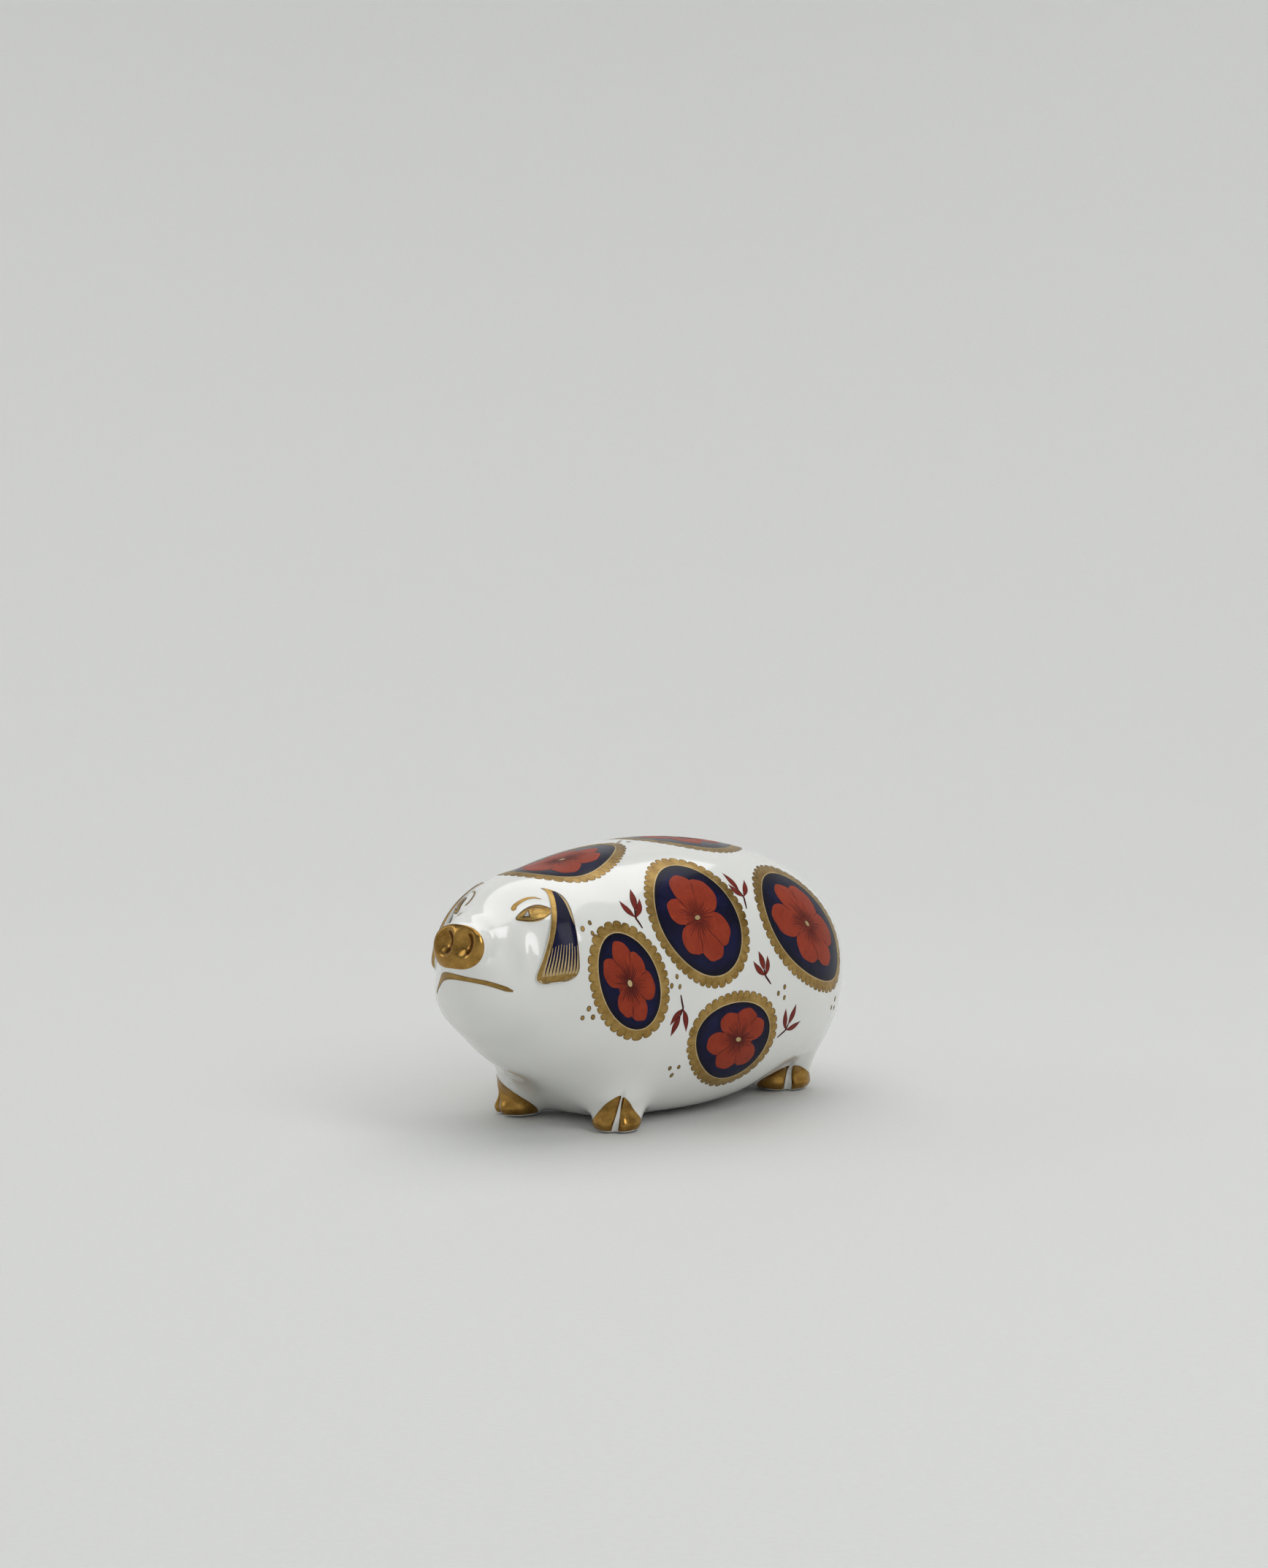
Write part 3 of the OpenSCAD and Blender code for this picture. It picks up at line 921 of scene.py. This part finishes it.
def flower_strokes(egg, petals, middle, draws):
    """Lines and widths of the brush strokes of a flower: fine ones out from its middle, and one
    between each two petals."""
    count, mean = 36, sum(r for _, r in petals) / len(petals)
    angle = TAU * (np.arange(count) + 0.35 * (draws.random(count) - 0.5)) / count
    reach = mean * (0.34 + 0.34 * draws.random(count))
    r = 0.12 * mean + (reach - 0.12 * mean)[:, None] * np.linspace(0, 1, 14)
    bend = 0.10 * (draws.random(count)[:, None] - 0.5) * (r / reach[:, None]) ** 2
    widths = (0.10 + 0.16 * draws.random(count))[:, None] * taper(14, 0.7, 0.1, 0.5)
    yield egg.polar(r, angle[:, None] + bend, middle), widths
    angles = sorted(angle % 360 for angle, _ in petals)
    gaps = np.radians([(a + b) / 2 for a, b in zip(angles, angles[1:] + [angles[0] + 360])])
    r = petal_radius(gaps, petals)[:, None] * np.linspace(0.62, 1.0, 12)
    yield egg.polar(r, gaps[:, None], middle), 0.2 * taper(12, 0.2, 0.8, 0.6) * np.ones((6, 1))


def medallion(layers, chart, size, petals, middle, seed, mirror=True):
    """A cobalt egg with a red flower, a pale line round it and a scalloped gold border."""
    draws = np.random.default_rng(seed)
    egg = Egg(chart, *size)
    kw = dict(along=chart.normal, closed=True, mirror=mirror)

    share, width, notch = scallops(egg, draws)
    x, y = zip(*[egg.edge(share, 0.12 + (width - 0.12) * r) for r in np.linspace(0, 1, 6) ** 0.8])
    tone = np.array([notch * r ** 2 + 0.75 * (r > 0.99) for r in np.linspace(0, 1, 6) ** 0.8])
    layers["gold_borders"].sheet(chart.at(np.array(x), np.array(y)), tone=tone.clip(0, 1), **kw)

    share = np.arange(220) / 220
    x, y = zip(*[egg.edge(share, out) for out in (-0.1, 0.02, 0.14)])
    layers["pale_lines"].sheet(chart.at(np.array(x), np.array(y)), **kw)

    fill = np.linspace(0, 1, 14)[:, None]
    x, y = egg.edge(share, -0.06)
    dark = np.clip((fill - 0.86) / 0.14, 0, 1)
    layers["cobalt_panels"].sheet(chart.at(x * fill, y * fill), tone=dark, filled=True, **kw)

    fill = np.linspace(0, 1, 16)[:, None]
    phi = np.linspace(0, TAU, 264, endpoint=False)
    radius = petal_radius(phi, petals)
    radius = radius * (1 + 0.012 * np.sin(9 * phi + seed) + 0.008 * np.sin(17 * phi))
    layers["red_flowers"].sheet(egg.polar(fill * radius, phi, middle), tone=0.9 * bump(fill, 0.34),
                                filled=True, **kw)

    for lines, widths in flower_strokes(egg, petals, middle, draws):
        layers["red_strokes"].strokes(lines, widths, tone=0.6, columns=3, mirror=mirror)
    cx, cy = egg.unit(*np.array(middle, float))
    u, v = disc(5, 28)
    layers["red_strokes"].sheet(chart.at(cx + 0.72 * u, cy + 0.98 * v), tone=0.8, filled=True,
                                lift=0.012, **kw)
    layers["flower_eyes"].sheet(chart.at(cx + 0.5 * u, cy + 0.76 * v), filled=True, **kw)


def dots(layers, centre, turn, seed, mirror=True, up=(0, 0, 1)):
    """Three gilt oval dots, each with a darker rim."""
    draws = np.random.default_rng(seed)
    chart = Chart(centre, up=up)
    for i in range(3):
        a = math.radians(turn) + TAU * i / 3
        lean = 0.6 * (draws.random() - 0.5)
        width = 0.42 + 0.08 * draws.random()
        c, s = math.cos(lean), math.sin(lean)
        for name, wide, tall, tone in (("dot_rims", 1, 1.3, 0.6), ("gold_dots", 0.72, 0.98, 0.1)):
            u, v = disc(4, 22)
            u, v = width * wide * u, width * tall * v
            raw = chart.at(DOT_SPREAD * math.sin(a) + u * c + v * s,
                           DOT_SPREAD * math.cos(a) - u * s + v * c)
            layers[name].sheet(raw, along=chart.normal, tone=tone, closed=True, filled=True,
                               mirror=mirror)


def spray(layers, centre, middle, left, right, stem):
    """Three leaves on a bent stem. Each is its angle, clockwise from up as seen from outside, and
    its length in mm from the place where they meet."""
    chart = Chart(centre)

    def along(angle, start, end, bow, count):
        a, r = math.radians(angle), np.linspace(start, end, count)
        side = bow * np.sin(math.pi * (r - start) / (end - start))
        return np.stack([r * math.sin(a) + side * math.cos(a),
                         r * math.cos(a) - side * math.sin(a)], 1)

    leaves, widths = [], []
    for (angle, length), start, width, bow in ((middle, 0.22, 1.5, 0.12), (left, 0.04, 1.35, -0.3),
                                              (right, 0.04, 1.3, 0.3)):
        xy = along(angle, start * length, length, bow, 24)
        s = np.linspace(0, 1, 24)
        leaves.append(chart.at(xy[:, 0], xy[:, 1]))
        widths.append(width * np.sin(math.pi * np.clip(s, 0.015, 0.99) ** 0.9) ** 1.15 + 0.05)
    layers["leaves"].strokes(leaves, widths, columns=7, tone=0.05, edge=0.6)
    foot = along(stem[0], 0, stem[1], 0, 2)[1]
    top = along(middle[0], 0, 0.34 * middle[1], 0, 2)[1]
    line = curve_through([foot, foot * 0.45, (0, 0), top * 0.5, top], 26)
    layers["leaves"].stroke(chart.at(line[:, 0], line[:, 1]), 0.46 * taper(26, 0.6, 0.3, 0.3),
                            tone=0.9, columns=3)


def decoration():
    """All the painted and gilded work on the body, left and right."""
    coats = {
        "gold_borders": (0.035, GOLD_PAINT, GILT), "cobalt_panels": (0.03, COBALT, ENAMEL),
        "pale_lines": (0.055, GOLD_PALE, GILT), "red_flowers": (0.05, RED, None),
        "red_strokes": (0.064, RED_DARK, None), "flower_eyes": (0.085, GOLD_PALE, GILT),
        "dot_rims": (0.03, BROWN, None), "gold_dots": (0.05, GOLD_PAINT, GILT),
        "leaves": (0.04, RED_DARK, None)}
    layers = {name: Layer(lift) for name, (lift, _, _) in coats.items()}
    # Each medallion: its centre, turn and shift, its size, the middle of its flower, and the angle
    # and length of each petal.
    on_side = (
        ((25.43, -6.19, 44.27), 79.8, (-1.11, 0.56), (12.75, 11.21, 0.22), (0, 0),
         ((-150, .70), (-82, .81), (-36, .80), (35, .74), (80, .77), (133, .75))),
        ((30.6, 25.86, 40.02), -42.8, (0.35, -0.33), (10.31, 15.13, 0.24), (0, 0.08),
         ((-164, .80), (-111, .78), (-41, .82), (25, .74), (76, .80), (138, .80))),
        ((23.38, -28.19, 33.97), -23.7, (0.32, -0.7), (6.75, 10.87, 0.05), (-0.04, 0),
         ((-137, .76), (-48, .82), (14, .85), (62, .76), (112, .84), (180, .83))),
        ((28.46, 1.17, 17.61), -69.3, (-0.31, 0.11), (8.89, 10.99, -0.2), (0.08, -0.12),
         ((-144, .76), (-86, .82), (-31, .84), (42, .77), (88, .78), (133, .72))),
    )
    for seed, (centre, turn, shift, size, middle, petals) in enumerate(on_side, 11):
        medallion(layers, Chart(centre, turn=turn, shift=shift), size, petals, middle, seed)
    even = tuple((a, 0.78) for a in (0, 58, 122, 180, -122, -58))
    for centre, up, size, middle, seed in (
            ((0, -20.2, 56), (0, 1, 0), (9.0, 14.6, -0.33), (0, -0.1), 21),    # neck
            ((0, 17.4, 58.5), (0, 1, 0), (13.2, 13.2, -0.08), (0, 0), 22),     # back
            ((0, 56, 25), (0, 0, 1), (9.5, 11.5, -0.08), (0, 0), 23)):         # rump
        medallion(layers, Chart(centre, up=up), size, even, middle, seed, mirror=False)

    for centre, middle, left, right, stem in (
            ((21.2, -23.3, 46.0), (14, 7.9), (-26, 5.1), (31, 5.5), (161, 2.5)),
            ((26.0, 7.9, 47.7), (-14, 7.3), (-32, 4.4), (36, 5.4), (-167, 2.8)),
            ((31.3, 8.8, 31.0), (-17, 5.8), (-45, 5.0), (11, 4.4), (140, 2.5)),
            ((26.8, -14.6, 26.6), (-160, 6.5), (162, 5.7), (-140, 4.6), (-17, 3.1)),
            ((30.7, 16.9, 18.1), (22, 6.2), (-12, 5.3), (73, 5.1), (-124, 2.6)),
            ((21.5, 50.0, 37.0), (-10, 6.5), (-42, 5.0), (22, 5.2), (160, 2.8)),
            ((15.0, 51.5, 14.0), (170, 6.0), (140, 5.0), (-150, 4.8), (-10, 2.8))):
        spray(layers, centre, middle, left, right, stem)
    for seed, (centre, turn) in enumerate((((18.1, -35.1, 44.9), 30), ((18.7, -35.9, 27.2), 0),
                                           ((26.8, -16.9, 32.2), 10), ((22.6, -12.4, 12.7), 60),
                                           ((31.9, 14.2, 26.8), 30), ((29.7, 37.0, 21.0), 10),
                                           ((8.0, 38.5, 53.5), 0), ((11, 50, 47), 40))):
        dots(layers, centre, turn, seed)
    dots(layers, (0, -1.4, 58.6), 60, 31, mirror=False, up=(0, 1, 0))
    dots(layers, (0, 37.5, 55.5), 0, 32, mirror=False, up=(0, 1, 0))

    for name, (_, material, slot) in coats.items():
        layers[name].build(name, material, slot)


def snout():
    """The gilded disc of the snout, laid on along rays from inside the head."""
    rows, columns = 64, 128
    phi = np.linspace(0, TAU, columns, endpoint=False)
    reach = np.radians(51.8 + 4.5 * np.cos(phi) - 9.2 * np.cos(2 * phi))
    a = reach * np.linspace(0, 1, rows)[:, None]
    rays = np.stack([np.sin(phi) * np.sin(a), -np.cos(a), np.cos(phi) * np.sin(a)], -1)
    gold = Layer(0.05)
    gold.sheet(np.array([0, -50.6, 42]) + rays * 5.0, along=rays, closed=True, filled=True,
               mirror=False)
    gold.build("snout_gilding", GOLD_BRIGHT, GILT)


def toes():
    """Gold on the two toes of each hoof, with a white strip in the cleft and a white sole.
    Each toe: how far round it reaches in degrees, its height in mm and how full its shoulder is."""
    gold = Layer(0.05)
    rows, columns = 30, 44
    plain = ((78, 7.4, 1.7), (98, 7.2, 1.0))
    for side in (1, -1):
        front = plain if side > 0 else ((112, 8.2, 1.5), (98, 7.2, 1.0))
        for foot, shapes in enumerate((front, ((60, 5.8, 1.15), (98, 5.6, 1.2)))):
            cx, cy, radius = FEET[foot]
            for way, (reach, height, full) in zip((-1, 1), shapes):
                f = np.linspace(0, 1, columns)
                turn = reach * f
                top = 1.0 + height * (1 - f ** full) ** 0.9 * (1 - 0.08 * np.exp(-f / 0.03))
                low = 0.6 + 0.25 * f
                z = low + (top - low) * np.linspace(0, 1, rows)[:, None]
                strip = 10.5 - 1.1 * np.clip(z, 0, 7.5)
                round_to = way * (strip + (1 - strip / reach) * turn)
                a = np.radians(cleft_azimuth(foot, side, z) + round_to)
                d = np.stack([side * np.sin(a), -np.cos(a), 0 * a], -1)
                raw = np.stack([side * cx + 0 * z, cy + 0 * z, z], -1) + d * radius
                edge = np.maximum(np.exp(-f[None] / 0.03), np.linspace(0, 1, rows)[:, None] ** 30)
                gold.sheet(raw, along=d, tone=0.5 * edge, mirror=False)
    gold.build("toe_gilding", GOLD_BRIGHT, GILT)


def polar_grid(outline, rows, grow=1.0):
    """A filled outline as rings about its middle."""
    middle = outline.mean(0)
    return middle + (outline - middle) * grow * np.linspace(0, 1, rows)[:, None, None]


def face():
    """Gilt eyes with pupils grey in painted shade, brows and mouth."""
    gold, line = Layer(0.045), Layer(0.06)
    pale, black = Layer(0.085), Layer(0.072)
    chart = Chart((10.2, -43.3, 48.2))

    def flat(points):
        rel = np.array(points, float) - chart.centre
        return np.stack([rel @ chart.right, rel @ chart.up], 1)

    def fill(layer, grid, tone=0.0):
        layer.sheet(chart.at(grid[..., 0], grid[..., 1]), along=chart.normal, tone=tone,
                    closed=True, filled=True)

    def draw(path, widths, tone):
        line.stroke(chart.at(path[:, 0], path[:, 1]), widths, columns=3, tone=tone)

    lids = flat([(7.9, -46.0, 47.1), (8.2, -44.0, 48.7), (9.3, -41.9, 49.8), (11.0, -40.6, 49.6),
                 (12.6, -40.0, 48.5), (12.2, -42.0, 47.0), (10.9, -43.9, 46.4), (9.2, -45.4, 46.6)])
    loop = curve_through(np.vstack([lids[-2:], lids, lids[:3]]), 145)[24:-25]
    grid = polar_grid(loop, 12)
    # The upper part of the eye's gold is darkened through tone: painted shade and reflection under
    # the upper lid.
    lid_shade = np.clip((grid[..., 1] - loop[:, 1].mean() - 0.35) / 1.2, 0, 1)
    fill(gold, grid, lid_shade)
    draw(np.vstack([loop, loop[:2]]), np.full(len(loop) + 2, 0.16), 0.9)
    # A dark brown stroke along the inside of the upper lid: painted shade. It goes into the same
    # object as the eye outlines.
    lid_shade_arc = flat([(8.3, -45.3, 47.9), (8.7, -43.6, 48.9), (9.9, -42.0, 49.2), (11.3, -41.0, 48.9)])
    draw(curve_through(lid_shade_arc, 30), 0.22 * taper(30, 0.2, 0.2, 0.5), 1.0)
    pupil = flat([(9.1, -43.5, 48.6), (8.9, -45.0, 47.2), (10.0, -44.0, 47.1)])
    share = np.linspace(0, 1, 8)[:-1, None]
    edge = np.concatenate([a + (b - a) * share for a, b in zip(pupil, np.roll(pupil, -1, axis=0))])
    for layer, grow in ((black, 1.15), (pale, 0.72)):
        fill(layer, polar_grid(edge, 4, grow))
    brow = curve_through([(6.5, -45.3, 48.6), (6.3, -44.2, 49.8), (7.0, -42.2, 50.8),
                          (8.2, -40.8, 51.1), (9.6, -39.9, 50.8)], 40)
    share = np.linspace(0, 1, 40)
    wide = (0.1 + 1.1 * (1 - share) ** 0.9) * np.clip(0.35 + share / 0.12, 0, 1)
    gold.stroke(brow, wide, tone=0.15, edge=0.6)
    mouth = curve_through([(-8.3, -52.1, 31.0), (-7.2, -53.2, 32.6), (-4.9, -54.2, 34.7),
                           (-2.4, -55.3, 35.6), (0.4, -55.6, 35.6), (3.6, -54.9, 35.2),
                           (6.9, -53.0, 34.5), (10.7, -50.1, 33.0)], 110)
    share = np.linspace(0, 1, 110)
    wide = 0.25 + 1.2 * bump(share - 0.36, 0.22) + 0.55 * np.clip((share - 0.3) / 0.3, 0, 1)
    wide = (wide + 0.2 * share) * np.clip((1.02 - share) / 0.06, 0.4, 1)
    gold.stroke(mouth, wide, mirror=False, tone=0.15, edge=0.7, columns=7)
    gold.build("face_gilding", GOLD_PAINT, GILT)
    line.build("eye_outlines_and_lid_shade", BROWN)
    pale.build("pupils_painted_shade", PUPIL_SHADE)
    black.build("pupil_rims", BROWN)


def dress_cad_nodes():
    """Finishes of the CAD nodes that stay: the stopper and the sand."""
    for node, material in (("stopper_cap", GOLD_PAINT), ("stopper_plug", rubber()),
                           ("sand_fill", sand())):
        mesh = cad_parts[node].data
        mesh.materials.clear()
        mesh.materials.append(material)


# ---------------------------------------------------------------- studio

def backdrop():
    """A pale sweep: a floor that curves up all round into a low wall."""
    flat, bend = 0.34, 0.85
    turn = [(flat + bend * math.sin(a), bend * (1 - math.cos(a)))
            for a in np.linspace(0.02, math.pi / 2, 30)]
    profile = [(0.0, 0.0), (flat, 0.0)] + turn + [(flat + bend, 1.5)]
    segments = 160
    a = np.linspace(0, TAU, segments, endpoint=False)
    points = [(0, 0, 0)] + [(r * math.cos(t), r * math.sin(t), z)
                            for r, z in profile[1:] for t in a]
    faces = [(0, 1 + j, 1 + (j + 1) % segments) for j in range(segments)]
    for i in range(len(profile) - 2):
        for j in range(segments):
            k = (j + 1) % segments
            faces.append((1 + i * segments + j, 1 + (i + 1) * segments + j,
                          1 + (i + 1) * segments + k, 1 + i * segments + k))
    mesh = bpy.data.meshes.new("sweep")
    mesh.from_pydata(points, [], faces)
    mesh.materials.append(backdrop_paper())
    mesh.polygons.foreach_set("use_smooth", np.ones(len(mesh.polygons), bool))
    link("sweep", mesh)


def area_light(name, place, aim, size, power, colour):
    """A rectangular soft box at a place, turned to a point."""
    light = bpy.data.lights.new(name, "AREA")
    light.shape = "RECTANGLE"
    light.size, light.size_y = size
    light.energy, light.color = power, colour
    obj = link(name, light)
    obj.location = place
    obj.rotation_euler = (Vector(aim) - Vector(place)).to_track_quat("-Z", "Y").to_euler()


def lights():
    """A big soft box over the pig, a window to its left and a weak fill, in a pale room."""
    bpy.context.scene.view_settings.view_transform = "Standard"
    world = bpy.data.worlds.new("studio")
    world.use_nodes = True
    sky = world.node_tree.nodes["Background"]
    sky.inputs["Color"].default_value = (0.93, 0.96, 1.0, 1)
    sky.inputs["Strength"].default_value = 0.34
    bpy.context.scene.world = world
    area_light("overhead", (-0.15, 0.15, 1.1), (0, 0, 0), (1.35, 1.35), 8.4, (1.0, 0.99, 0.97))
    area_light("window", (0.75, -0.15, 0.75), (0, 0, 0.03), (0.35, 0.55), 2.3, (1, 1, 1))
    area_light("fill", (-0.9, -0.6, 0.5), (0, 0, 0.03), (0.5, 0.5), 1.3, (0.97, 0.99, 1.0))


def camera():
    """Stands where it sees the pig from its left front, a little above it."""
    azimuth, elevation, distance = math.radians(38.5), math.radians(9.1), 0.6
    look_down, aim = math.radians(4.70), (0, 0.0023, 0.025)
    data = bpy.data.cameras.new("camera")
    data.lens, data.sensor_width = 62.4, 36
    obj = link("camera", data)
    obj.location = (aim[0] + distance * math.sin(azimuth) * math.cos(elevation),
                    aim[1] - distance * math.cos(azimuth) * math.cos(elevation),
                    aim[2] + distance * math.sin(elevation))
    obj.rotation_euler = (math.pi / 2 - look_down, 0, azimuth - math.radians(0.025))
    bpy.context.scene.camera = obj


camera()
lights()
backdrop()
body()
ears()
tail()
snout()
toes()
face()
decoration()
dress_cad_nodes()
